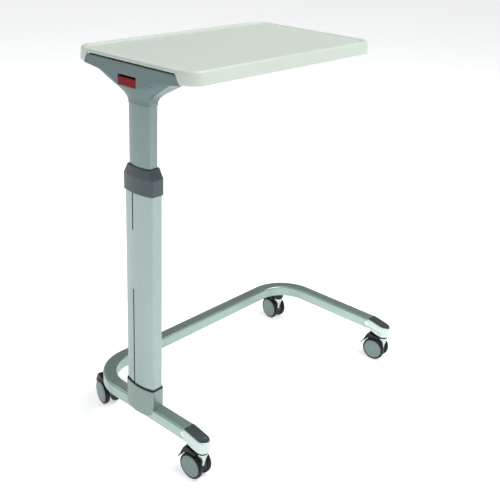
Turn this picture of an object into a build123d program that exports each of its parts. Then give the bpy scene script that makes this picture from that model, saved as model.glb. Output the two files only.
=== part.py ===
from build123d import *
import os
from math import sin, cos, radians, sqrt

# Overbed table: C-shaped floor frame on four twin-wheel castors, telescopic
# column over one leg, moulded tray cantilevered from a cast bracket.
# Millimetres.  While the pieces are drawn, x = 0 is the centreline of the leg
# under the column, y = 0 the centreline of the cross tube, the legs run to -y
# and z = 0 is the floor.  Everything is moved to the bounding-box bottom
# centre when it is written.

# ---- driving dimensions ------------------------------------------------
frame_w = 737.4          # leg centreline to leg centreline
leg_end = 346.5          # cross tube centreline to end of leg tube
bend_r = 97.4            # centreline radius of the frame's corners
tube_w, tube_h = 34.0, 31.0
tube_top = 117.0
tube_wall = 2.5
tube_fillet = 4.5

wheel_d = 65.0
axle_z = wheel_d / 2
trail = 20.0
socket_y = 393.0         # castor stem, front castors
corner_angle = 50.0      # castor stem position round the corner bend
stem_r = 5.5
run_fit = 0.05           # radial clearance of running fits
swivel_top = 75.5

col_y = -196.0
low_hx, low_hy, low_bulge = 13.7, 45.0, 8.0     # outer column: flat-ended lens
low_wall = 3.0
low_r, up_r = 4.2, 3.2      # corner radii of the two extrusions
up_hx, up_hy, up_bulge = 10.8, 33.7, 6.5        # inner column
up_wall = 2.5
shoe_floor = 125.0
shoe_top = 164.0
gasket_h = 3.5
low_top = 690.0
collar_bot, collar_edge, collar_top = 650.0, 687.5, 709.0
neck_bot = 845.0
mast_bot = 330.0

tray_l, tray_w, tray_top = 607.5, 368.0, 946.0
tray_x0, tray_y = -38.5, -197.0
tray_r, tray_draft = 37.0, 2.2
skirt_h = 29.5
skirt_t = 4.5
pan_z = 941.2
pan_under = 936.0
rim_w = 13.0

lever_y, lever_half = -190.0, 27.5
lever_hx, lever_hz = -10.0, 899.0

castor_yaw = {"front_left": -2.5, "front_right": -6.0,
              "rear_right": 8.6, "rear_left": 14.3}

base_z = tube_top - tube_h
parts = {}


def lens(hx, hy, bulge, r=0.0):
    """Flat-ended lens section in the XY plane."""
    a = ThreePointArc((hx, -hy), (hx + bulge, 0), (hx, hy))
    b = Line((hx, hy), (-hx, hy))
    c = ThreePointArc((-hx, hy), (-hx - bulge, 0), (-hx, -hy))
    d = Line((-hx, -hy), (hx, -hy))
    f = make_face(Curve() + [a, b, c, d])
    if r:
        f = fillet(f.vertices(), r)
    return f


def prism(face, z0, z1):
    return Pos(0, 0, z0) * extrude(face, z1 - z0)


def yz_prism(pts, x0, x1):
    """Closed polygon given as (y, z), extruded from x0 to x1."""
    pl = Plane(origin=(x0, 0, 0), x_dir=(0, 1, 0), z_dir=(1, 0, 0))
    return extrude(pl * make_face(Polyline(*pts, close=True)), x1 - x0)


def box(x0, x1, y0, y1, z0, z1):
    return Pos((x0 + x1) / 2, (y0 + y1) / 2, (z0 + z1) / 2) * Box(x1 - x0, y1 - y0, z1 - z0)


def cyl_z(r, z0, z1, x=0, y=0):
    return Pos(x, y, (z0 + z1) / 2) * Cylinder(r, z1 - z0)


def cyl_x(r, x0, x1, y=0, z=0):
    return Pos((x0 + x1) / 2, y, z) * Rot(0, 90, 0) * Cylinder(r, x1 - x0)


def cyl_y(r, y0, y1, x=0, z=0):
    return Pos(x, (y0 + y1) / 2, z) * Rot(90, 0, 0) * Cylinder(r, y1 - y0)


# ---- floor frame ------------------------------------------------------------
zc = tube_top - tube_h / 2
path = Wire([
    Edge.make_line((0, -leg_end, zc), (0, -bend_r, zc)),
    Edge.make_three_point_arc((0, -bend_r, zc),
                              (bend_r * (1 - cos(radians(45))), -bend_r * (1 - sin(radians(45))), zc),
                              (bend_r, 0, zc)),
    Edge.make_line((bend_r, 0, zc), (frame_w - bend_r, 0, zc)),
    Edge.make_three_point_arc((frame_w - bend_r, 0, zc),
                              (frame_w - bend_r * (1 - cos(radians(45))), -bend_r * (1 - sin(radians(45))), zc),
                              (frame_w, -bend_r, zc)),
    Edge.make_line((frame_w, -bend_r, zc), (frame_w, -leg_end, zc)),
])
start = Plane(origin=(0, -leg_end, zc), x_dir=(1, 0, 0), z_dir=(0, 1, 0))
outer_sec = start * RectangleRounded(tube_w, tube_h, tube_fillet)
inner_sec = start * RectangleRounded(tube_w - 2 * tube_wall, tube_h - 2 * tube_wall, tube_fillet - 2.2)
frame_outer = sweep(outer_sec, path=path)
frame_inner = sweep(inner_sec, path=path)

ca = radians(corner_angle)
stems = {
    "front_left": (0.0, -socket_y),
    "front_right": (frame_w, -socket_y),
    "rear_left": (bend_r * (1 - cos(ca)), -bend_r * (1 - sin(ca))),
    "rear_right": (frame_w - bend_r * (1 - cos(ca)), -bend_r * (1 - sin(ca))),
}

# side tongues of the end caps: rounded slots through the tube's side walls
tongue_y0, tongue_z, tongue_h = -334.0, 101.0, 15.0


def tongue(x0, x1):
    t = box(x0, x1, -leg_end - 1, tongue_y0 - tongue_h / 2, tongue_z - tongue_h / 2, tongue_z + tongue_h / 2)
    return t + cyl_x(tongue_h / 2, x0, x1, tongue_y0 - tongue_h / 2, tongue_z)


frame = frame_outer - frame_inner
for x in (0, frame_w):
    frame -= Pos(x, 0, 0) * (tongue(-20, -12) + tongue(12, 20))
bolt_ys = (col_y - 26, col_y + 26)
for y in bolt_ys:
    frame -= cyl_z(5.0, 80, 121, 0, y)
for k in ("rear_left", "rear_right"):
    frame -= cyl_z(10.0, 80, 100, *stems[k])
parts["base_frame"] = frame

# ---- end caps ---------------------------------------------------------------
nose_r = tube_w / 2


def plan(hw, y_back, yc=-socket_y):
    """Slot-ended outline, half width hw, from y_back to a round nose about yc."""
    a = Line((-hw, y_back), (-hw, yc))
    b = ThreePointArc((-hw, yc), (0, yc - hw), (hw, yc))
    c = Line((hw, yc), (hw, y_back))
    d = Line((hw, y_back), (-hw, y_back))
    return make_face(Curve() + [a, b, c, d])


nose_y = -socket_y - nose_r
side = [(-leg_end, tube_top), (-365, 114.2), (-385, 110.2), (-400, 106.8), (nose_y - 2, 104.4),
        (nose_y - 2, 76.0), (-388, 76.0), (-376, 77.6), (-364, 81.2), (-leg_end, base_z)]
cap = prism(plan(nose_r, -leg_end), 70, 120) & yz_prism(side, -20, 20)
# pocket for the dark tread insert
ins_hw = 15.0
ins_side = [(-leg_end + 0.2, tube_top + 0.6), (-365, 114.8), (-385, 110.8), (-400, 107.4), (nose_y - 2, 105.0),
            (nose_y - 2, 102.0), (-400, 104.0), (-385, 107.3), (-365, 111.3), (-leg_end + 0.2, tube_top - 3.0)]
insert = prism(plan(ins_hw, -leg_end - 0.6), 70, 125) & yz_prism(ins_side, -20, 20)
cap -= prism(plan(ins_hw, -leg_end - 0.6), 70, 125) & yz_prism(
    [(p[0], p[1] + (12 if i < 5 else 0)) for i, p in enumerate(ins_side)], -20, 20)
# spigot into the tube and flush tongues in its side walls
spigot = Plane(origin=(0, -leg_end, zc), x_dir=(1, 0, 0), z_dir=(0, 1, 0)) * RectangleRounded(
    tube_w - 2 * tube_wall - 0.2, tube_h - 2 * tube_wall - 0.2, tube_fillet - 2.4)
cap += extrude(spigot, 40)
for s in (-1, 1):
    t = box(-16.2, -12.0, -leg_end - 30, tongue_y0 - tongue_h / 2, tongue_z - tongue_h / 2 + 0.05, tongue_z + tongue_h / 2 - 0.05)
    t = t + cyl_x(tongue_h / 2 - 0.05, -16.2, -12.0, tongue_y0 - tongue_h / 2, tongue_z)
    cap += t if s < 0 else mirror(t, Plane.YZ)
    # recess that carries the tongue line on to the nose
    rec = yz_prism([(-leg_end + 0.1, tongue_z + 7.5), (-400, 96.5), (-404, 92.0), (-402, 87.5), (-396, 85.0),
                    (-leg_end + 0.1, tongue_z - 7.5)], -18.0, -16.2)
    cap -= rec if s < 0 else mirror(rec, Plane.YZ)
# bore for the castor socket and lightening core under the nose
cap -= cyl_z(10.0, 70, 100, 0, -socket_y)
core = cyl_z(3.2, 70, 96, 0, -365)
cap -= core
for side_name, x in (("left", 0), ("right", frame_w)):
    parts["end_cap_" + side_name] = Pos(x, 0, 0) * cap
    parts["end_cap_insert_" + side_name] = Pos(x, 0, 0) * insert

# ---- castor sockets ------------------------------------------------------------
sockets = []
for k, (x, y) in stems.items():
    s = cyl_z(10.0, swivel_top + 0.5, 99.9, x, y)
    if k.startswith("rear"):
        s += cyl_z(15.5, swivel_top + 0.5, base_z, x, y)
    s -= cyl_z(stem_r + run_fit, 70, 98.5, x, y)
    sockets.append(s)
parts["castor_sockets"] = Compound(children=sockets)

# ---- column shoe ----------------------------------------------------------------
c0 = Pos(0, col_y, 0)
shoe_face = lens(low_hx + 2.6, low_hy + 2.6, low_bulge, low_r + 2.2)
shoe = c0 * prism(shoe_face, 92, shoe_top)
w = low_hy + 6
lobe = [(-w, shoe_top + 1), (-w, 117.0), (-w + 5.5, 117.0), (-44.0, 104), (-38.4, 98.5), (-30.0, 96), (-16, 94.4), (0, 94), (16, 94.4),
        (30.0, 96), (38.4, 98.5), (44.0, 104), (w - 5.5, 117.0), (w, 117.0), (w, shoe_top + 1)]
shoe = shoe & yz_prism([(y + col_y, z) for y, z in lobe], -30, 30)
leg_solid = Plane(origin=(0, -leg_end, zc), x_dir=(1, 0, 0), z_dir=(0, 1, 0)) * RectangleRounded(
    tube_w, tube_h, tube_fillet)
shoe -= extrude(leg_solid, 320)
shoe -= c0 * prism(lens(low_hx, low_hy, low_bulge, low_r), shoe_floor, shoe_top + 2)
for y in bolt_ys:
    shoe -= cyl_z(5.0, 110, shoe_floor + 1, 0, y)
parts["column_shoe"] = shoe
parts["shoe_gasket"] = c0 * (prism(lens(low_hx + 2.0, low_hy + 2.0, low_bulge, low_r + 1.6), shoe_top, shoe_top + gasket_h)
                             - prism(lens(low_hx, low_hy, low_bulge, low_r), shoe_top - 1, shoe_top + gasket_h + 1))
bolts = []
for y in bolt_ys:
    head = prism(RegularPolygon(9.2, 6), base_z - 6.0, base_z)
    bolts.append(Pos(0, y, 0) * (head + cyl_z(5.0, base_z, shoe_floor + 6) + cyl_z(8.5, shoe_floor, shoe_floor + 6)))
parts["shoe_bolts"] = Compound(children=bolts)

# ---- outer column ------------------------------------------------------------------
outer = prism(lens(low_hx, low_hy, low_bulge, low_r), shoe_floor, low_top) - prism(
    lens(low_hx - low_wall, low_hy - low_wall, low_bulge - 0.2, 1.8), shoe_floor - 1, low_top + 1)
stripe_y, stripe_w = 12.5, 4.0
stripes = []
for z0, z1 in ((shoe_top + gasket_h + 1.0, 416.0), (561.0, collar_bot - 1.0)):
    groove = box(-30, -19.7, stripe_y - stripe_w / 2, stripe_y + stripe_w / 2, z0, z1)
    outer -= groove
    stripes.append(c0 * box(-20.8, -19.7, stripe_y - stripe_w / 2, stripe_y + stripe_w / 2, z0, z1))
parts["outer_column"] = c0 * outer
parts["column_stripes"] = Compound(children=stripes)

# ---- collar and guide bush -----------------------------------------------------------
gap = 0.3
collar = prism(lens(low_hx + 2.8, low_hy + 2.8, low_bulge, low_r + 2.2), collar_bot, collar_edge)
top = loft([Pos(0, 0, collar_edge) * lens(low_hx + 2.8, low_hy + 2.8, low_bulge, low_r + 2.2),
            Pos(0, 0, collar_top) * lens(up_hx + 3.4, up_hy + 4.4, up_bulge, low_r + 1.4)], ruled=True)
collar = collar + top
collar -= prism(lens(low_hx, low_hy, low_bulge, low_r), collar_bot - 1, low_top)
collar -= prism(lens(up_hx + gap, up_hy + gap, up_bulge, up_r + 0.2), low_top - 1, collar_top + 1)
parts["column_collar"] = c0 * collar
bush = prism(lens(low_hx - low_wall, low_hy - low_wall, low_bulge - 0.2, 1.8), low_top - 70, low_top) - prism(
    lens(up_hx + gap, up_hy + gap, up_bulge, up_r + 0.2), low_top - 71, low_top + 1)
parts["guide_bush"] = c0 * bush

# ---- inner column and its lower slider --------------------------------------------------
mast_top = 880.0
inner = prism(lens(up_hx, up_hy, up_bulge, up_r), mast_bot, mast_top) - prism(
    lens(up_hx - up_wall, up_hy - up_wall, up_bulge - 0.1, 1.0), mast_bot - 1, mast_top + 1)
parts["inner_column"] = c0 * inner
slider = prism(lens(low_hx - low_wall - gap, low_hy - low_wall - gap, low_bulge - 0.2, 2.0), mast_bot - 12, mast_bot + 36)
slider -= prism(lens(up_hx, up_hy, up_bulge, up_r), mast_bot, mast_bot + 40)
slider -= cyl_z(13.0, mast_bot - 20, mast_bot + 1)
parts["inner_slider"] = c0 * slider

# ---- gas spring ------------------------------------------------------------------------
cyl = cyl_z(11.0, shoe_floor, 548) - cyl_z(9.5, shoe_floor + 4, 540) - cyl_z(4.0 + run_fit, 530, 550)
parts["gas_spring_cylinder"] = c0 * cyl
rod = cyl_z(4.0, 258, 886) + cyl_z(9.2, 258, 270) - cyl_z(2.5 + run_fit, 872, 890)
parts["gas_spring_rod"] = c0 * rod
parts["valve_pin"] = c0 * cyl_z(2.5, 877, 896.5)

# ---- cast bracket ------------------------------------------------------------------------
secs = [(neck_bot, 12.2, 35.0, 6.6), (856, 12.8, 36.4, 6.8), (868, 16.5, 46.8, 6.6), (879, 21.0, 64.0, 5.4),
        (890, 25.5, 83.0, 3.6), (903, 29.0, 106.0, 1.8), (913, 30.6, 130.0, 0.7), (919, 31.0, 143.0, 0.4)]
body = loft([Pos(0, 0, z) * lens(hx, hy, b, 4.0) for z, hx, hy, b in secs])
body += prism(lens(31.0, 143.0, 0.4, 4.0), 919, 932)
body -= box(-40, -31.0, -200, 200, 870, 940)
body -= prism(lens(up_hx, up_hy, up_bulge, up_r), neck_bot - 1, mast_top)
body -= cyl_z(4.0, mast_top - 1, 890)
body = c0 * body
# lever pocket and finger slot
body -= box(-45, -4.5, lever_y - lever_half - 3, lever_y + lever_half + 3, 883.0, 910.0)
body -= box(-6, 9, col_y - 7, col_y + 7, 886.0, 910.0)
body -= cyl_y(2.0, lever_y - lever_half - 9, lever_y + lever_half + 9, lever_hx, lever_hz)
parts["bracket_body"] = body

# end cover plate with the lever opening
half = [(0, 933.4), (134.0, 933.4), (139.5, 931.0), (143.0, 925.0), (148.5, 916.2), (146.5, 913.4), (105, 908.5), (72, 901.5),
        (57, 895.0), (46, 887.5), (36, 884.0), (0, 884.0)]
pts = [(col_y - 1 + d, z) for d, z in half] + [(col_y - 1 - d, z) for d, z in reversed(half)][1:-1]
cover = yz_prism(pts, -38.2, -31.0)
cover = fillet(cover.edges().filter_by(lambda e: e.center().X < -38.1 and e.center().Z < 932), 1.6)
cover -= box(-45, -20, lever_y - lever_half - 0.8, lever_y + lever_half + 0.8, 880, 908.5)
# small finger recess beside the lever
cover -= box(-45, -33.5, lever_y - lever_half - 24, lever_y - lever_half - 8, 880, 886.2)
parts["bracket_cover"] = cover

# ---- release lever ----------------------------------------------------------------------
ly0, ly1 = lever_y - lever_half, lever_y + lever_half
lev = yz_prism([(ly0, 885.0), (ly1, 885.0), (ly1, 903.5), (ly0, 903.5)], -37.4, -34.0)
lev += box(-37.4, lever_hx, ly0, ly1, 900.4, 903.5)
for y in (ly0, ly1 - 3, lever_y - 1.5):
    lev += yz_prism([(y, 889.0), (y + 3, 889.0), (y + 3, 903.5), (y, 903.5)], -37.4, -22)
    lev += yz_prism([(y, 896.0), (y + 3, 896.0), (y + 3, 903.5), (y, 903.5)], -37.4, lever_hx)
lev += cyl_y(4.5, ly0, ly1, lever_hx, lever_hz)
lev += box(lever_hx, 5.0, col_y - 4, col_y + 4, 896.8, 901.0)
lev -= cyl_y(2.0 + run_fit, ly0 - 1, ly1 + 1, lever_hx, lever_hz)
parts["release_lever"] = lev
parts["lever_pin"] = cyl_y(2.0, ly0 - 8, ly1 + 8, lever_hx, lever_hz)

# ---- tray support frame ---------------------------------------------------------------------
rail_y, rail_w, sup_x1 = 95.0, 34.0, 430.0
sup = box(-28, 60, col_y - 140, col_y + 140, 932.0, pan_under)
for s in (-1, 1):
    y = col_y + s * rail_y
    sup += box(-28, sup_x1, y - rail_w / 2, y + rail_w / 2, 932.0, pan_under)
    for t in (-1, 1):
        yy = y + t * (rail_w / 2 - 1.5)
        sup += box(60, sup_x1, yy - 1.5, yy + 1.5, 918.0, 933.0)
sup += box(sup_x1 - 34, sup_x1, col_y - rail_y, col_y + rail_y, 932.0, pan_under)
screw_xy = [(x, col_y + s * rail_y) for x in (80.0, 245.0, 410.0) for s in (-1, 1)]
for x, y in screw_xy:
    sup -= cyl_z(2.5, 930, 940, x, y)
parts["support_frame"] = sup
screws = []
for x, y in screw_xy:
    h = Pos(x, y, 0) * (cyl_z(5.0, 929.0, 932.0) - prism(RegularPolygon(2.2, 6), 928.5, 930.8))
    screws.append(h + cyl_z(2.5, 932.0, pan_under, x, y) + cyl_z(2.0, pan_under, 939.5, x, y))
parts["tray_screws"] = Compound(children=screws)

# ---- tray --------------------------------------------------------------------------------------
tx = tray_x0 + tray_l / 2
tray_bot = tray_top - skirt_h


def rrect(grow, r):
    return RectangleRounded(tray_l - 2 * grow, tray_w - 2 * grow, r)


out = loft([Pos(0, 0, tray_bot) * rrect(0, tray_r), Pos(0, 0, tray_top) * rrect(tray_draft, tray_r - tray_draft)])
out = fillet(out.edges().group_by(Axis.Z)[-1], 6.5)
pan = loft([Pos(0, 0, pan_z) * rrect(rim_w + 4.0, tray_r - 11.0), Pos(0, 0, tray_top + 0.01) * rrect(rim_w - 3.0, tray_r - 7.0)])
out -= pan
under = loft([Pos(0, 0, tray_bot - 1) * rrect(skirt_t, tray_r - skirt_t), Pos(0, 0, pan_under) * rrect(skirt_t + tray_draft, tray_r - skirt_t - tray_draft)])
out -= under
tray = Pos(tx, tray_y, 0) * out
notch = [(tray_y + s * d, z) for s, seq in ((1, [(151.0, 910.0), (151.0, 914.0), (145.5, 925.6), (141.8, 932.8), (134.5, 937.0)]),
                                          (-1, [(134.5, 937.0), (141.8, 932.8), (145.5, 925.6), (151.0, 914.0), (151.0, 910.0)])) for d, z in seq]
tray -= yz_prism(notch, -45, -30.8)
for x, y in screw_xy:
    tray -= cyl_z(2.0, 930, 939.5, x, y)
parts["table_tray"] = tray

# ---- castors ---------------------------------------------------------------------------------
hub_r, tyre_in, tyre_out = 26.9, 26.9, wheel_d / 2


def revolve_x(pts):
    """Closed (x, radius) outline revolved about the X axis."""
    f = make_face(Polyline(*[(x, r) for x, r in pts], close=True))
    return revolve(f, Axis.X, 360)


def castor(braked):
    p = {}
    # steel stem with a shoulder, swivelling in its socket
    p["stem"] = cyl_z(stem_r, 56, 97.5)
    # cast fork between the wheels
    cone = revolve(Plane.XZ * make_face(Polyline((0, 71), (12.5, 71), (12.5, 66), (9.5, 56), (6.6, 44), (6.0, 37), (0, 37), close=True)), Axis.Z, 360)
    web = yz_prism([(-6.0, 44), (-8.5, 58), (-8.5, 66), (6, 66), (20, 62), (31.0, 52), (31.5, 32.5), (30, 27), (26, 23), (20, 21.5),
                    (14, 23), (8, 30), (0, 37), (-4, 38)], -5.8, 5.8)
    h = cone + web
    for x0, x1 in ((7.4, 30.0), (-30.0, -7.4)):
        h -= cyl_x(wheel_d / 2 + 1.0, x0, x1, trail, axle_z)
    h -= cyl_x(3.0, -20, 20, trail, axle_z)
    h -= cyl_z(stem_r, 56, 72)
    p["housing"] = h
    p["axle"] = cyl_x(3.0, -19.0, 19.0, trail, axle_z)
    # black dust collar and mudguard hood over the wheels
    ring = cyl_z(13.6, 71.0, swivel_top) - cyl_z(stem_r, 70, 80)
    prof = [(6.5, 74.4), (12, 75.1), (17.5, 75.2), (29, 78.7), (35.5, 80.3), (39, 79.0), (43.5, 73.3), (48.5, 63.5), (51.6, 56.5), (52.2, 50.0), (49.5, 47.5), (45, 42), (33, 50), (33, 66), (6.5, 66)]
    hood = yz_prism(prof, -19.0, 19.0)
    hood -= cyl_x(wheel_d / 2 + 1.6, -25, 25, trail, axle_z)
    hood -= cyl_z(13.6, 60, 90)
    hood = hood + ring
    hood -= box(-6.0, 6.0, -10, 33, 60, 66.5)
    if braked:
        hood -= box(-9.0, 9.0, 40.0, 70, 30, 90)
        hood -= cyl_x(2.0 + run_fit, -16, 16, 45.5, 63.5)
    p["hood"] = hood
    for s, n in ((-1, "left"), (1, "right")):
        tyre = revolve_x([(8.2, tyre_in), (19.6, tyre_in), (20.6, 28.2), (20.6, 29.4), (19.6, 31.2), (17.6, 32.3), (15.5, tyre_out),
                          (12.8, tyre_out), (10.4, 32.1), (8.8, 31.0), (8.2, 29.6)])
        hub = revolve_x([(6.6, 3.0 + run_fit), (19.4, 3.0 + run_fit), (19.4, 0.0), (22.2, 0.0), (22.0, 17.0), (21.6, 22.5), (21.0, 25.0), (20.9, 25.6),
                         (20.5, 26.6), (19.6, hub_r), (9.2, hub_r), (9.2, 25.4), (14.0, 23.4), (16.6, 21.0), (16.6, 8.5), (6.6, 8.0)])
        if s < 0:
            tyre, hub = mirror(tyre, Plane.YZ), mirror(hub, Plane.YZ)
        p["tyre_" + n] = Pos(0, trail, axle_z) * tyre
        p["hub_" + n] = Pos(0, trail, axle_z) * hub
    if braked:
        arm = yz_prism([(43.0, 66.5), (48.5, 65.5), (52.5, 58), (58.5, 45), (65.5, 34.5), (63.5, 33.8), (56.5, 42.5), (50.5, 54.5), (46, 59.5), (42.5, 60.5)], -8.4, 8.4)
        pad = yz_prism([(57.5, 47), (65.8, 34.6), (63.6, 33.6), (56.0, 43.5)], -14.0, 14.0)
        p["brake_pedal"] = arm + pad + cyl_x(2.0, -13.5, 13.5, 45.5, 63.5)
    return p


for k, (x, y) in stems.items():
    loc = Pos(x, y, 0) * Rot(0, 0, -castor_yaw[k])
    for n, s in castor(k.startswith("front")).items():
        parts["castor_%s_%s" % (k, n)] = loc * s

# ---- move to the bounding-box bottom centre and write -----------------------------------------
lo = [1e9] * 3
hi = [-1e9] * 3
for s in parts.values():
    bb = s.bounding_box()
    for i, (a, b) in enumerate(zip(tuple(bb.min), tuple(bb.max))):
        lo[i], hi[i] = min(lo[i], a), max(hi[i], b)
shift = Pos(-(lo[0] + hi[0]) / 2, -(lo[1] + hi[1]) / 2, -lo[2])
print("shift", [round(v, 3) for v in (-(lo[0] + hi[0]) / 2, -(lo[1] + hi[1]) / 2, -lo[2])])
print("size", [round(b - a, 2) for a, b in zip(lo, hi)])

os.makedirs("parts", exist_ok=True)
for name, s in parts.items():
    export_step(shift * s, "parts/%s.step" % name)
print(len(parts), "nodes")
for k, (x, y) in stems.items():
    print(k, round(x - (lo[0] + hi[0]) / 2, 3), round(y - (lo[1] + hi[1]) / 2, 3), castor_yaw[k])
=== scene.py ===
import bpy, bmesh, math
from mathutils import Vector, Matrix


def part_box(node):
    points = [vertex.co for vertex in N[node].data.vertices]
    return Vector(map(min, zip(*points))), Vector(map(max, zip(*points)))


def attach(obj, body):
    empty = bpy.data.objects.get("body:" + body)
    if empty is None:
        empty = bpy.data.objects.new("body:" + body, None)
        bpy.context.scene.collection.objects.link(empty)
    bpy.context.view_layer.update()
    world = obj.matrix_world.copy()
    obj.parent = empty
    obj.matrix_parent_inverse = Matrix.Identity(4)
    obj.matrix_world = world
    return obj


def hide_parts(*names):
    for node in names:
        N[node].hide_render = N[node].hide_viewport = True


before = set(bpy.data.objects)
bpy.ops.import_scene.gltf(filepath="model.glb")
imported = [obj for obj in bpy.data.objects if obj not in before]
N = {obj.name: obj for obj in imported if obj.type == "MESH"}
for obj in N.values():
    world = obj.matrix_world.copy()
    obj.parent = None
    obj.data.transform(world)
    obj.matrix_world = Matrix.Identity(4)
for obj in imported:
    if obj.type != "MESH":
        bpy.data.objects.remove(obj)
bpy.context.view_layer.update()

# ------------------------------------------------------------------ materials


def new_mat(name):
    m = bpy.data.materials.new(name)
    m.use_nodes = True
    nt = m.node_tree
    for n in list(nt.nodes):
        nt.nodes.remove(n)
    out = nt.nodes.new("ShaderNodeOutputMaterial")
    bs = nt.nodes.new("ShaderNodeBsdfPrincipled")
    nt.links.new(bs.outputs[0], out.inputs[0])
    return m, nt, bs


def coords(nt, scale=(1, 1, 1)):
    tc = nt.nodes.new("ShaderNodeTexCoord")
    mp = nt.nodes.new("ShaderNodeMapping")
    mp.inputs["Scale"].default_value = scale
    nt.links.new(tc.outputs["Object"], mp.inputs["Vector"])
    return mp.outputs[0]


def noise(nt, vec, scale, detail=3.0, rough=0.55):
    n = nt.nodes.new("ShaderNodeTexNoise")
    n.inputs["Scale"].default_value = scale
    n.inputs["Detail"].default_value = detail
    n.inputs["Roughness"].default_value = rough
    nt.links.new(vec, n.inputs["Vector"])
    return n.outputs[0]


def ramp(nt, fac, stops):
    r = nt.nodes.new("ShaderNodeValToRGB")
    els = r.color_ramp.elements
    while len(els) > 1:
        els.remove(els[-1])
    els[0].position, els[0].color = stops[0][0], stops[0][1]
    for p, c in stops[1:]:
        e = els.new(p)
        e.color = c
    nt.links.new(fac, r.inputs[0])
    return r.outputs[0]


def rng(nt, fac, lo, hi, a=0.3, b=0.7):
    m = nt.nodes.new("ShaderNodeMapRange")
    m.inputs["From Min"].default_value = a
    m.inputs["From Max"].default_value = b
    m.inputs["To Min"].default_value = lo
    m.inputs["To Max"].default_value = hi
    nt.links.new(fac, m.inputs["Value"])
    return m.outputs[0]


def bump(nt, height, strength, dist, prev=None):
    b = nt.nodes.new("ShaderNodeBump")
    b.inputs["Strength"].default_value = strength
    b.inputs["Distance"].default_value = dist
    nt.links.new(height, b.inputs["Height"])
    if prev is not None:
        nt.links.new(prev, b.inputs["Normal"])
    return b.outputs[0]


def mixc(nt, fac, a, b):
    m = nt.nodes.new("ShaderNodeMix")
    m.data_type = "RGBA"
    nt.links.new(fac, m.inputs["Factor"])
    for sock, v in ((m.inputs[6], a), (m.inputs[7], b)):
        if isinstance(v, tuple):
            sock.default_value = v
        else:
            nt.links.new(v, sock)
    return m.outputs[2]


def c4(c, k=1.0):
    return (min(1, c[0] * k), min(1, c[1] * k), min(1, c[2] * k), 1.0)


def surface(name, col, metallic=0.0, rough=0.4, vary=0.05, grain=(1, 1, 1), grain_scale=900.0, grain_bump=0.12,
            grain_dist=0.00005, broad=7.0, rough_var=0.06, coat=0.0, coat_rough=0.2, spec=0.5, edge_highlight=0.0, edge_highlight_col=None,
            speck=0.0, orange=0.0):
    """Satin surface: broad tone variation, fine grain in the colour, roughness and bump, and a painted highlight: a
    lighter tint on convex edges.
    """
    m, nt, bs = new_mat(name)
    obj = coords(nt)
    fine_vec = coords(nt, grain)
    big = noise(nt, obj, broad, 2.0)
    fine = noise(nt, fine_vec, grain_scale, 4.0, 0.6)
    c = ramp(nt, big, [(0.3, c4(col, 1 - vary)), (0.7, c4(col, 1 + vary))])
    tint = ramp(nt, fine, [(0.35, c4((0.93, 0.93, 0.93))), (0.65, c4((1, 1, 1)))])
    mul = nt.nodes.new("ShaderNodeMix")
    mul.data_type = "RGBA"
    mul.blend_type = "MULTIPLY"
    mul.inputs["Factor"].default_value = 0.8
    nt.links.new(c, mul.inputs[6])
    nt.links.new(tint, mul.inputs[7])
    c = mul.outputs[2]
    if speck:
        sp = noise(nt, obj, 2600.0, 1.0)
        c = mixc(nt, rng(nt, sp, 0.0, speck, 0.62, 0.72), c, c4(col, 1.5))
    # painted highlight: convex edges, found by Pointiness, are mixed towards a lighter tint
    if edge_highlight:
        geo = nt.nodes.new("ShaderNodeNewGeometry")
        e = rng(nt, geo.outputs["Pointiness"], 0.0, edge_highlight, 0.53, 0.62)
        c = mixc(nt, e, c, c4(edge_highlight_col or (min(1, col[0] * 1.6 + .05), min(1, col[1] * 1.6 + .05), min(1, col[2] * 1.6 + .05))))
    nt.links.new(c, bs.inputs["Base Color"])
    bs.inputs["Metallic"].default_value = metallic
    nt.links.new(rng(nt, fine, rough - rough_var, rough + rough_var), bs.inputs["Roughness"])
    nrm = bump(nt, fine, grain_bump, grain_dist)
    if orange:
        nrm = bump(nt, noise(nt, obj, 420.0, 1.0), orange, 0.00008, nrm)
    nt.links.new(nrm, bs.inputs["Normal"])
    if coat:
        bs.inputs["Coat Weight"].default_value = coat
        bs.inputs["Coat Roughness"].default_value = coat_rough
    bs.inputs["Specular IOR Level"].default_value = spec
    return m


# the edge settings below set the strength of the painted highlight on each material's convex edges
M = {}
M["tray"] = surface("tray_plastic", (0.62, 0.69, 0.615), 0.0, 0.34, 0.012, grain_scale=1500, grain_bump=0.25, grain_dist=0.00004,
                    broad=3.0, rough_var=0.05, coat=0.12, coat_rough=0.28)
M["frame"] = surface("frame_coat", (0.35, 0.455, 0.42), 0.86, 0.30, 0.05, grain_scale=1300, grain_bump=0.10, speck=0.35, orange=0.10,
                     edge_highlight=0.25)
M["cast"] = surface("cast_silver", (0.60, 0.69, 0.66), 0.92, 0.29, 0.05, grain_scale=700, grain_bump=0.22, grain_dist=0.00008,
                    speck=0.25, orange=0.15, edge_highlight=0.35)
M["anod"] = surface("anodised", (0.35, 0.425, 0.41), 0.94, 0.26, 0.035, grain=(1, 1, 0.012), grain_scale=900, grain_bump=0.10,
                    broad=4.0, rough_var=0.05)
M["anod_in"] = surface("inner_anodised", (0.235, 0.30, 0.295), 0.92, 0.28, 0.035, grain=(1, 1, 0.012), grain_scale=900,
                       grain_bump=0.10, broad=4.0, rough_var=0.05)
M["grey"] = surface("grey_plastic", (0.072, 0.098, 0.104), 0.15, 0.38, 0.05, grain_scale=1100, grain_bump=0.35, grain_dist=0.00006,
                    rough_var=0.05, edge_highlight=0.3)
M["insert"] = surface("grip_insert_plastic", (0.045, 0.062, 0.066), 0.1, 0.30, 0.06, grain_scale=1000, grain_bump=0.4,
                      grain_dist=0.00006, edge_highlight=0.35)
M["bracket"] = surface("bracket_coat", (0.155, 0.22, 0.22), 0.70, 0.38, 0.05, grain_scale=900, grain_bump=0.2, orange=0.1, edge_highlight=0.2)
M["cover"] = surface("bracket_cover_plastic", (0.15, 0.21, 0.212), 0.40, 0.34, 0.04, grain_scale=1200, grain_bump=0.3,
                     grain_dist=0.00005, edge_highlight=0.35)
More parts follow.
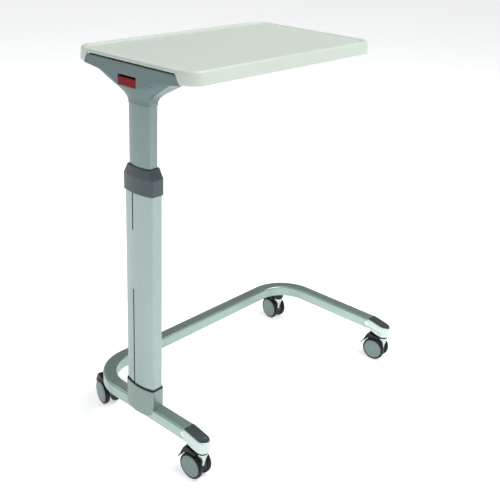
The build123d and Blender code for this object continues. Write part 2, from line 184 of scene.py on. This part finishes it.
M["black"] = surface("black_plastic", (0.009, 0.011, 0.012), 0.0, 0.40, 0.15, grain_scale=1000, grain_bump=0.35,
                     grain_dist=0.00006, edge_highlight=0.2, edge_highlight_col=(0.05, 0.058, 0.062), spec=0.26)
M["rubber"] = surface("black_rubber", (0.010, 0.011, 0.011), 0.0, 0.62, 0.15, grain_scale=700, grain_bump=0.4, grain_dist=0.00008)
M["tyre"] = surface("tyre_rubber", (0.008, 0.010, 0.011), 0.0, 0.42, 0.2, grain_scale=600, grain_bump=0.4, grain_dist=0.00008,
                    rough_var=0.08, spec=0.24)
M["hub"] = surface("hub_plastic", (0.19, 0.265, 0.26), 0.15, 0.34, 0.06, grain_scale=900, grain_bump=0.25, grain_dist=0.00005,
                   edge_highlight=0.4)
M["red"] = surface("lever_red", (0.22, 0.0015, 0.004), 0.0, 0.30, 0.08, grain_scale=900, grain_bump=0.25, spec=0.18, edge_highlight=0.2,
                   edge_highlight_col=(0.35, 0.01, 0.01))
M["shoe"] = surface("shoe_silver", (0.25, 0.32, 0.30), 0.80, 0.30, 0.05, grain_scale=700, grain_bump=0.2, grain_dist=0.00008,
                    speck=0.2, orange=0.12, edge_highlight=0.4)
M["steel"] = surface("zinc_steel", (0.55, 0.56, 0.57), 1.0, 0.32, 0.08, grain_scale=500, grain_bump=0.2)
M["nylon"] = surface("nylon", (0.60, 0.60, 0.55), 0.0, 0.45, 0.03, grain_scale=700, grain_bump=0.2)
M["spring"] = surface("spring_coat", (0.018, 0.018, 0.02), 0.1, 0.30, 0.1, grain_scale=900, grain_bump=0.15)

ASSIGN = {
    "base_frame": "frame", "end_cap_left": "cast", "end_cap_right": "cast", "end_cap_insert_left": "insert",
    "end_cap_insert_right": "insert", "castor_sockets": "black", "column_shoe": "shoe", "shoe_gasket": "rubber",
    "shoe_bolts": "steel", "outer_column": "anod", "column_stripes": "rubber", "column_collar": "grey", "guide_bush": "nylon",
    "gas_spring_cylinder": "spring", "inner_column": "anod_in", "inner_slider": "nylon", "gas_spring_rod": "steel",
    "bracket_body": "bracket", "bracket_cover": "cover", "lever_pin": "steel", "support_frame": "steel", "tray_screws": "steel",
    "table_tray": "tray", "release_lever": "red", "valve_pin": "steel",
}
SUFFIX = {"_stem": "steel", "_housing": "cast", "_hood": "black", "_axle": "steel", "_tyre_left": "tyre", "_tyre_right": "tyre",
          "_hub_left": "hub", "_hub_right": "hub", "_brake_pedal": "black"}


def paint(o, m):
    o.data.materials.clear()
    o.data.materials.append(m)
    for p in o.data.polygons:
        p.material_index = 0


for n, o in N.items():
    key = ASSIGN.get(n)
    if key is None:
        for s, k in SUFFIX.items():
            if n.endswith(s):
                key = k
    paint(o, M[key])


# ------------------------------------------------------------------ mesh helpers


def ring_mesh(name, rings, close_first=True, close_last=True):
    """Skins a list of equal-length closed rings of points."""
    n = len(rings[0])
    verts = [p for r in rings for p in r]
    faces = []
    for k in range(len(rings) - 1):
        for i in range(n):
            j = (i + 1) % n
            faces.append((k * n + i, k * n + j, (k + 1) * n + j, (k + 1) * n + i))
    if close_first:
        faces.append(tuple(range(n - 1, -1, -1)))
    if close_last:
        faces.append(tuple(range((len(rings) - 1) * n, len(rings) * n)))
    me = bpy.data.meshes.new(name)
    me.from_pydata(verts, [], faces)
    me.validate()
    bm = bmesh.new()
    bm.from_mesh(me)
    bmesh.ops.recalc_face_normals(bm, faces=bm.faces[:])
    bm.to_mesh(me)
    bm.free()
    o = bpy.data.objects.new(name, me)
    bpy.context.scene.collection.objects.link(o)
    return o


def smooth(o, angle=40):
    me = o.data
    me.polygons.foreach_set("use_smooth", [True] * len(me.polygons))
    if angle:
        m = o.modifiers.new("flat_by_angle", "EDGE_SPLIT")
        m.split_angle = math.radians(angle)
        m.use_edge_sharp = False


def sstep(a, b, x):
    t = max(0.0, min(1.0, (x - a) / (b - a)))
    return t * t * (3 - 2 * t)


MM = 0.001
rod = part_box("gas_spring_rod")
OX, OY = (rod[0].x + rod[1].x) / 2, (rod[0].y + rod[1].y) / 2 + 0.196

# ------------------------------------------------------------------ moulded tray
tlo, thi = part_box("table_tray")
TW, TL = thi.y - tlo.y, thi.x - tlo.x
tcx, tcy = (tlo.x + thi.x) / 2, (tlo.y + thi.y) / 2
Z0, Z1 = tlo.z, thi.z
notch_x = tlo.x
TR = 0.037


def rounded_rect(grow, r, step=0.004):
    """Outline points (x, y) of the tray inset by grow, always in the same order and number."""
    hx, hy = TL / 2 - grow, TW / 2 - grow
    r = max(r, 0.002)
    pts = []
    nc = 22
    nsx, nsy = 90, 120
    for (cx, cy, a0), (ex, ey) in zip(((hx - r, hy - r, 0), (-hx + r, hy - r, 90), (-hx + r, -hy + r, 180), (hx - r, -hy + r, 270)),
                                     ((1, 0), (0, 1), (1, 0), (0, 1))):
        for i in range(nc):
            t = math.radians(a0 + 90.0 * i / nc)
            pts.append((cx + r * math.cos(t), cy + r * math.sin(t)))
        a = math.radians(a0 + 90)
        p = (cx + r * math.cos(a), cy + r * math.sin(a))
        n = nsx if ex else nsy
        ln = 2 * (hx - r) if ex else 2 * (hy - r)
        d = (-math.sin(a0 * math.pi / 180 + math.pi / 2) * 1.0, math.cos(a0 * math.pi / 180 + math.pi / 2) * 1.0)
        for i in range(n):
            pts.append((p[0] + d[0] * ln * i / n, p[1] + d[1] * ln * i / n))
    return pts


def notch_z(x, y):
    """Height of the skirt's lower edge: raised along the short side over the bracket."""
    if x > -TL / 2 + 0.012:
        return Z0
    d = abs(y)
    t = 1 - sstep(0.1335, 0.1500, d)
    return Z0 + (0.937 - Z0) * t


rim = 0.013
profile = [  # inset, height (absolute, or lower-edge relative), corner-radius change
    ("b", 0.0046, 0.0012), ("b", 0.0040, 0.0004), ("b", 0.0031, 0.0), ("b", 0.0012, 0.0), ("b", 0.0004, 0.0004), ("b", 0.0, 0.0014),
]
rings = []


def add_ring(inset, zf, r=None):
    r = TR - inset if r is None else r
    rings.append([(tcx + x, tcy + y, zf(x, y)) for x, y in rounded_rect(inset, r)])


def edge_z(dz):
    return lambda x, y: min(notch_z(x, y) + dz, Z1 - 0.004)


# inner side of the skirt, from under the pan down to its lip
under = 0.936
add_ring(0.0067 + 0.03, lambda x, y: under)
add_ring(0.0067 + 0.0015, lambda x, y: under)
add_ring(0.0067, lambda x, y: min(under - 0.0008, max(notch_z(x, y) + 0.0008, under - 0.0018)) if notch_z(x, y) < 0.93 else under + 0.0003)
add_ring(0.0048, edge_z(0.0016))
for kind, ins, dz in profile:
    add_ring(ins, edge_z(dz))
# outer side with its draft
for f in (0.25, 0.5, 0.75):
    add_ring(0.0020 * f * 0.75, lambda x, y, f=f: notch_z(x, y) + 0.0014 + (Z1 - 0.0075 - notch_z(x, y) - 0.0014) * f)
# rounded shoulder
for k in range(0, 9):
    a = math.radians(90.0 * k / 8)
    add_ring(0.0018 + 0.0066 * (1 - math.cos(a)), lambda x, y, a=a: Z1 - 0.0072 + 0.0071 * math.sin(a))
# crown of the rim, soft roll down into the pan
for ins, z in ((0.0098, 0.00002), (0.0112, 0.0003), (0.0124, 0.0010), (0.0138, 0.0022), (0.0152, 0.0034), (0.0166, 0.0043), (0.0182, 0.0047),
               (0.0205, 0.0048)):
    add_ring(ins, lambda x, y, z=z: Z1 - z, max(TR - 0.7 * ins, 0.012))
for ins in (0.045, 0.09):
    add_ring(ins, lambda x, y: Z1 - 0.0048, max(TR - 0.7 * ins, 0.012))
tray = ring_mesh("moulded_tray", rings)
smooth(tray, 50)
tray.data.materials.append(M["tray"])
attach(tray, "mast")
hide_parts("table_tray")

# ------------------------------------------------------------------ end caps and their inserts
NOSE = -0.393
TOPS = [(-0.3465, 0.117), (-0.356, 0.1160), (-0.365, 0.1142), (-0.385, 0.1102), (-0.400, 0.1068), (-0.412, 0.1042)]
BOTS = [(-0.3465, 0.086), (-0.356, 0.0838), (-0.364, 0.0812), (-0.376, 0.0778), (-0.384, 0.0764), (-0.392, 0.0760), (-0.412, 0.0760)]


def interp(tab, y):
    if y >= tab[0][0]:
        return tab[0][1]
    for (a, za), (b, zb) in zip(tab, tab[1:]):
        if y >= b:
            return za + (zb - za) * (a - y) / (a - b)
    return tab[-1][1]


def soft(tab, y, w=0.006):
    return sum(interp(tab, y + w * k / 3) for k in range(-3, 4)) / 7 if y < -0.3495 else interp(tab, y)


def slot_outline(hw, y_back, inset=0.0):
    pts = []
    r = hw - inset
    yb = y_back
    ns, na = 46, 44
    for i in range(ns):
        pts.append((-r, yb + (NOSE - yb) * i / ns))
    for i in range(na + 1):
        a = math.pi + math.pi * i / na
        pts.append((r * math.cos(a), NOSE + r * math.sin(a)))
    for i in range(1, ns + 1):
        pts.append((r, NOSE + (yb - NOSE) * i / ns))
    return pts


def tongue_depth(y, z):
    """Recess that runs from the rounded tongue on the tube to the nose."""
    t = (y + 0.3465) / (-0.060)
    zc = 0.1008 - 0.0105 * max(0.0, min(1.0, t)) ** 1.3
    hh = 0.0075 - 0.0006 * max(0.0, t)
    e = 1 - sstep(hh - 0.0006, hh + 0.0006, abs(z - zc))
    return 0.0009 * e * (1 - sstep(-0.3955 * -1, -0.4020 * -1, -y))


def cap_mesh(name, x0):
    rows = []
    hw, yb = 0.017, -0.3466
    for ins, f, off in ((0.0158, 0, 0.0), (0.0100, 0, 0.0), (0.0042, 0, 0.0), (0.0026, 0, 0.0001), (0.0014, 0, 0.0006), (0.0005, 0, 0.0015), (0.0, 0, 0.0028)):
        rows.append([(x0 + x, y, soft(BOTS, y) + off) for x, y in slot_outline(hw, yb, ins)])
    K = 26
    for k in range(1, K):
        f = k / K
        r = []
        for x, y in slot_outline(hw, yb, 0.0):
            zb, zt = soft(BOTS, y) + 0.0028, soft(TOPS, y) - 0.0018
            z = zb + (zt - zb) * f
            d = tongue_depth(y, z)
            nx, ny = (x / hw, 0.0) if y > NOSE else (x / hw, (y - NOSE) / hw)
            r.append((x0 + x - nx * d, y - ny * d, z))
        rows.append(r)
    for ins, off in ((0.0, 0.0018), (0.0003, 0.0009), (0.0009, 0.0003), (0.0016, 0.0), (0.0020, 0.0), (0.0021, 0.0012), (0.0060, 0.0016), (0.0158, 0.0016)):
        rows.append([(x0 + x, y, soft(TOPS, y) - off) for x, y in slot_outline(hw, yb, ins)])
    o = ring_mesh(name, rows)
    smooth(o, 42)
    return o


def insert_mesh(name, x0):
    rows = []
    hw, yb = 0.01475, -0.3470
    for ins, dz in ((0.0135, -0.0022), (0.0002, -0.0022), (0.0, -0.0012), (0.0, -0.0003), (0.0003, 0.0003), (0.0010, 0.0006), (0.0022, 0.0007), (0.0050, 0.0008),
                    (0.0090, 0.0008), (0.0135, 0.0008)):
        r = []
        for x, y in slot_outline(hw, yb, ins):
            dish = 0.0016 * math.exp(-((y + 0.3985) / 0.0055) ** 2) * max(0.0, 1 - (x / 0.0095) ** 2) if dz > 0 else 0.0
            r.append((x0 + x, y, soft(TOPS, y) + dz - dish))
        rows.append(r)
    o = ring_mesh(name, rows)
    smooth(o, 42)
    return o


def tongue_mesh(name, x0, s):
    """The rounded tongue of the cap that shows in the tube's side wall."""
    me = bpy.data.meshes.new(name)
    bm = bmesh.new()
    zc, h, y1, y0 = 0.101, 0.00745, -0.3415, -0.3467
    out = [(y0, zc - h)] + [(y1 + h * math.cos(math.radians(a)), zc + h * math.sin(math.radians(a))) for a in range(-90, 91, 10)] + [(y0, zc + h)]
    layers = [(0.0126, 0.0), (0.0160, 0.0), (0.01635, 0.0004)]
    vs = []
    for xx, ins in layers:
        row = []
        for y, z in out:
            dy, dz = (y - y1 if y > y1 else 0.0), z - zc
            ln = math.hypot(dy, dz) or 1
            row.append(bm.verts.new((x0 + s * xx, y - ins * dy / ln, z - ins * dz / ln)))
        vs.append(row)
    n = len(out)
    for a, b in zip(vs, vs[1:]):
        for i in range(n):
            bm.faces.new((a[i], a[(i + 1) % n], b[(i + 1) % n], b[i]))
    bm.faces.new(vs[0][::-1])
    bm.faces.new(vs[-1])
    bmesh.ops.recalc_face_normals(bm, faces=bm.faces[:])
    bm.to_mesh(me)
    bm.free()
    o = bpy.data.objects.new(name, me)
    bpy.context.scene.collection.objects.link(o)
    smooth(o, 35)
    return o


for side, node in (("left", "end_cap_left"), ("right", "end_cap_right")):
    lo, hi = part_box(node)
    x0 = (lo.x + hi.x) / 2
    dy = OY
    c = cap_mesh("nose_casting_" + side, x0)
    i = insert_mesh("nose_insert_" + side, x0)
    t1 = tongue_mesh("nose_tongue_outer_" + side, x0, -1)
    t2 = tongue_mesh("nose_tongue_inner_" + side, x0, 1)
    for o, m in ((c, "cast"), (i, "insert"), (t1, "cast"), (t2, "cast")):
        o.data.transform(Matrix.Translation((0, dy, 0)))
        o.data.materials.append(M[m])
        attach(o, "base")
    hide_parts(node)
    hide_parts("end_cap_insert_" + side)

# ------------------------------------------------------------------ rounded edges on castings and mouldings


def soften(node, voxel, rounds, factor=0.5, ratio=None):
    """Evenly remeshes a CAD piece and rounds its edges; the piece itself isn't moved or changed."""
    o = N[node]
    r = o.modifiers.new("remesh", "REMESH")
    r.mode = "VOXEL"
    r.voxel_size = voxel
    r.use_smooth_shade = True
    s = o.modifiers.new("round_edges", "SMOOTH")
    s.factor = factor
    s.iterations = rounds
    if ratio:
        d = o.modifiers.new("thin", "DECIMATE")
        d.ratio = ratio
        d.use_collapse_triangulate = True

for cst in ("castor_front_left", "castor_front_right", "castor_rear_left", "castor_rear_right"):
    soften(cst + "_hood", 0.0008, 3)
    soften(cst + "_housing", 0.0008, 3)
soften("castor_front_left_brake_pedal", 0.0007, 2)
soften("castor_front_right_brake_pedal", 0.0007, 2)
soften("bracket_body", 0.0012, 3)
soften("bracket_cover", 0.0008, 2)
soften("column_shoe", 0.0008, 2)
soften("column_collar", 0.0008, 2)
soften("release_lever", 0.0006, 2)

# ------------------------------------------------------------------ camera


def set_camera(f, cy, yaw, pitch, roll, loc):
    fw = Vector((math.sin(yaw) * math.cos(pitch), math.cos(yaw) * math.cos(pitch), -math.sin(pitch)))
    r = Vector((math.cos(yaw), -math.sin(yaw), 0))
    u = r.cross(fw)
    c, s = math.cos(roll), math.sin(roll)
    r2, u2 = c * r + s * u, -s * r + c * u
    cam = bpy.data.objects.new("camera", bpy.data.cameras.new("camera"))
    bpy.context.scene.collection.objects.link(cam)
    mt = Matrix((r2, u2, -fw)).transposed().to_4x4()
    mt.translation = Vector(loc)
    cam.matrix_world = mt
    cam.data.sensor_width = 36.0
    cam.data.lens = 36.0 * f / 500
    cam.data.shift_y = (cy - 250) / 500
    cam.data.clip_end = 100
    bpy.context.scene.camera = cam
    return cam


set_camera(819.2145, 200, 0.8496, 0.3627, 0.0419, (-1.0997497 + OX, -1.4717695 + OY, 1.2730179))

# ------------------------------------------------------------------ floor, light, world
fm, fnt, fbs = new_mat("floor")
fv = noise(fnt, coords(fnt), 2.0, 2.0)
pale = ramp(fnt, fv, [(0.3, (0.86, 0.87, 0.87, 1)), (0.7, (0.88, 0.885, 0.885, 1))])
fnt.links.new(pale, fbs.inputs["Base Color"])
fbs.inputs["Emission Strength"].default_value = 0.53
fbs.inputs["Roughness"].default_value = 0.7
fbs.inputs["Specular IOR Level"].default_value = 0.2
fbs.inputs["Emission Color"].default_value = (1, 1, 1, 1)
me = bpy.data.meshes.new("floor")
R = 14.0
ring = [(R * math.cos(2 * math.pi * i / 96), R * math.sin(2 * math.pi * i / 96), -0.0002) for i in range(96)]
me.from_pydata(ring, [], [list(range(96))])
floor = bpy.data.objects.new("floor", me)
bpy.context.scene.collection.objects.link(floor)
me.materials.append(fm)


def area(name, loc, target, size, power, size_y=None, color=(1, 1, 1)):
    d = bpy.data.lights.new(name, "AREA")
    d.shape = "RECTANGLE"
    d.size, d.size_y = size, size_y or size
    d.energy = power
    d.color = color
    o = bpy.data.objects.new(name, d)
    bpy.context.scene.collection.objects.link(o)
    o.location = loc
    o.rotation_euler = (Vector(target) - Vector(loc)).to_track_quat("-Z", "Y").to_euler()
    return o


area("key", (1.0, -1.6, 4.2), (0, 0, 0.4), 3.2, 140, 2.8)
area("fill_left", (-3.0, -1.0, 2.2), (0, 0, 0.4), 1.6, 8, 2.2)
area("back", (-0.3, 2.8, 3.2), (0, 0, 0.4), 2.4, 20, 1.4)

w = bpy.data.worlds.new("studio")
bpy.context.scene.world = w
w.use_nodes = True
wn = w.node_tree
bg = wn.nodes["Background"]
tc = wn.nodes.new("ShaderNodeTexCoord")
sx = wn.nodes.new("ShaderNodeSeparateXYZ")
wn.links.new(tc.outputs["Generated"], sx.inputs[0])
wr = wn.nodes.new("ShaderNodeValToRGB")
wr.color_ramp.elements[0].position = 0.0
wr.color_ramp.elements[0].color = (0.78, 0.79, 0.79, 1)
wr.color_ramp.elements[1].position = 1.0
wr.color_ramp.elements[1].color = (0.45, 0.46, 0.465, 1)
for pos, val in ((0.10, 0.58), (0.27, 0.24), (0.60, 0.30)):
    e = wr.color_ramp.elements.new(pos)
    e.color = (val, val * 1.02, val * 1.03, 1)
wn.links.new(sx.outputs["Z"], wr.inputs[0])
wn.links.new(wr.outputs[0], bg.inputs[0])
bg.inputs[1].default_value = 1.0
try:
    bpy.context.scene.view_settings.view_transform = "Standard"
    bpy.context.scene.view_settings.look = "None"
except Exception as e:
    print("view transform", e)

bpy.context.view_layer.update()
